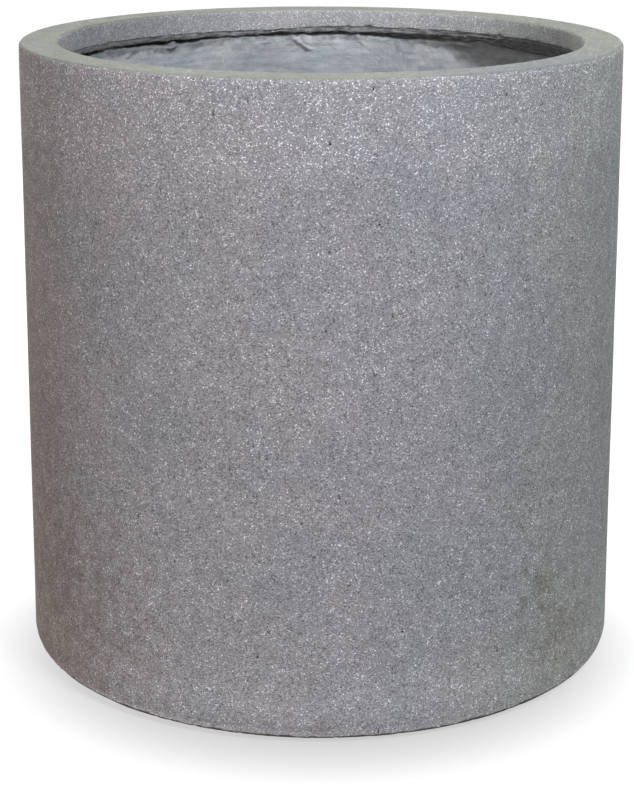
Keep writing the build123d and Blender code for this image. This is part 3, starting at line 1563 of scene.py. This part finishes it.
@dataclass(frozen=True)
class Lamp:
    """A soft box that faces the planter.

    Attributes:
        name: the lamp's name.
        turn: degrees from the front towards the right.
        rise: degrees above the horizon.
        distance: from the planter's middle.
        width: of the soft box.
        depth: of the soft box, upwards.
        power: in watts.
        tint: its colour.
    """

    name: str
    turn: float
    rise: float
    distance: float
    width: float
    depth: float
    power: float
    tint: Tone

    def hang(self, target: Vector) -> None:
        """Hangs the lamp and turns it towards the planter.

        Args:
            target: what it faces.
        """
        turn, rise = math.radians(self.turn), math.radians(self.rise)
        away = Vector((math.sin(turn) * math.cos(rise), -math.cos(turn) * math.cos(rise), math.sin(rise)))
        light = bpy.data.lights.new(self.name, "AREA")
        light.shape = "RECTANGLE"
        light.size, light.size_y = self.width, self.depth
        light.energy = self.power
        light.color = linear(self.tint)[:3]
        lamp = bpy.data.objects.new(self.name, light)
        bpy.context.scene.collection.objects.link(lamp)
        lamp.location = target + away * self.distance
        lamp.rotation_euler = (-away).to_track_quat("-Z", "Y").to_euler()


@dataclass
class Studio:
    """Pale floor, soft light and a camera at the photograph's angle.

    Attributes:
        frame_size: width and height of the photograph in pixels.
        focal_pixels: the camera's focal length in those pixels.
        centre: the point of the photograph that the camera faces.
        camera_back: how far the camera stands in front of the planter's axis.
        paper_edge: the floor counts as pale paper within this distance, for light on the planter.
        shadow_middle: the middle of the shadow that the picture shows.
        floor_lift: how much white shows through at the shadow's darkest part.
        white_from: distance from the shadow's middle where the floor starts to whiten.
        white_at: distance where it is white.
    """

    frame_size: tuple[int, int] = (634, 800)
    focal_pixels: float = 2119
    centre: tuple[float, float] = (317, 270)
    camera_back: float = 1.7629
    camera_height: float = 0.7278
    pitch: float = 0.2279
    yaw: float = 0.0018
    roll: float = 0.0013
    sensor: float = 36
    clip: tuple[float, float] = (0.05, 60)
    lamp_target: Triple = (0.0, 0.0, 0.26)
    world_strength: float = 0.2
    world_tint: Tone = (255, 247, 240)
    floor_size: float = 14
    floor_tone: Tone = (92, 92, 92)
    paper_bounce: Tone = (186, 184, 181)
    floor_bounce: Tone = (96, 93, 90)
    paper_edge: float = 0.34
    floor_lift: float = 0.56
    shadow_middle: Triple = (0.0, -0.045, 0.0)
    white_from: float = 0.19
    white_at: float = 0.315
    lamps: tuple[Lamp, ...] = (
        Lamp("key", 32, 49, 2.4, 0.5, 0.5, 56, (248, 251, 255)),
        Lamp("front_left", -38, 14, 1.52, 0.5, 0.5, 7.8, (255, 246, 240)),
        Lamp("back_left", -163, 12, 2.6, 1.2, 1.0, 30, (255, 252, 248)),
        Lamp("back_right", 163, 12, 2.6, 1.2, 1.0, 30, (255, 252, 248)),
    )

    def set_up(self) -> None:
        """Makes the camera, the lamps, the world and the floor."""
        self._camera()
        for lamp in self.lamps:
            lamp.hang(Vector(self.lamp_target))
        self._world()
        self._floor()
        bpy.context.scene.view_settings.view_transform = "Standard"

    def _camera(self) -> None:
        """Makes the camera, fitted to the photographed rim, wall and foot."""
        lens = bpy.data.cameras.new("camera")
        width, height = self.frame_size
        long_side = max(width, height)
        lens.sensor_width = self.sensor
        lens.lens = self.focal_pixels / long_side * self.sensor
        lens.shift_x = (width / 2 - self.centre[0]) / long_side
        lens.shift_y = (self.centre[1] - height / 2) / long_side
        lens.clip_start, lens.clip_end = self.clip
        camera = bpy.data.objects.new("camera", lens)
        bpy.context.scene.collection.objects.link(camera)
        camera.matrix_world = (
            Matrix.Translation((0, -self.camera_back, self.camera_height))
            @ Matrix.Rotation(self.yaw, 4, "Z")
            @ Matrix.Rotation(math.pi / 2 - self.pitch, 4, "X")
            @ Matrix.Rotation(self.roll, 4, "Z")
        )
        bpy.context.scene.camera = camera

    def _world(self) -> None:
        """Makes even light from all sides, in front of a white background."""
        world = bpy.data.worlds.new("studio")
        bpy.context.scene.world = world
        world.use_nodes = True
        sky = Wiring(world.node_tree)
        tint = linear(self.world_tint)
        light = sky.signal("Background", {"Color": tint, "Strength": self.world_strength})
        white = sky.signal("Background", {"Color": (1, 1, 1, 1), "Strength": 1.0})
        shown = sky.signal("MixShader", {0: sky.seen(), 1: light, 2: white})
        sky.node("OutputWorld", {"Surface": shown})

    def _floor(self) -> None:
        """Makes a pale floor that shows white but for the planter's shadow, which is cast and also
        painted, as the floor's glow fades towards the planter.
        """
        half = self.floor_size / 2
        corners = [(-half, -half, 0), (half, -half, 0), (half, half, 0), (-half, half, 0)]
        mesh = bpy.data.meshes.new("floor")
        mesh.from_pydata(corners, [], [(0, 1, 2, 3)])
        paper = Recipe("floor_paper")
        seen = paper.seen()
        sheet = paper.near((0.0, 0.0, 0.0)).ramp(self.paper_edge, self.paper_edge * 1.5, 1.0, 0.0)
        bounce = paper.blend(sheet, self.floor_bounce, self.paper_bounce)
        tone = paper.blend(seen, bounce, self.floor_tone)
        # Painted shadow: the white glow is weaker near the planter, round the cast shadow.
        away = paper.near(self.shadow_middle)
        white = seen * away.ramp(self.white_from, self.white_at, self.floor_lift, 1.0)
        matt = paper.signal("BsdfDiffuse", {"Color": tone})
        glow = paper.signal("Emission", {"Strength": white})
        paper.node("OutputMaterial", {"Surface": paper.signal("AddShader", {0: matt, 1: glow})})
        mesh.materials.append(paper.material)
        floor = bpy.data.objects.new("floor", mesh)
        bpy.context.scene.collection.objects.link(floor)


def main() -> None:
    """Builds the studio and the planter."""
    logging.basicConfig(level=logging.INFO, format="%(name)s: %(message)s")
    Studio().set_up()
    for piece in (FaceShell(), RimBackfill(), WallLining(), FloorLining(), DrainPlug()):
        made = piece.build()
        log.info("%s stands for %s, %d faces", made.name, piece.node, len(made.data.polygons))


if __name__ == "__main__":
    main()
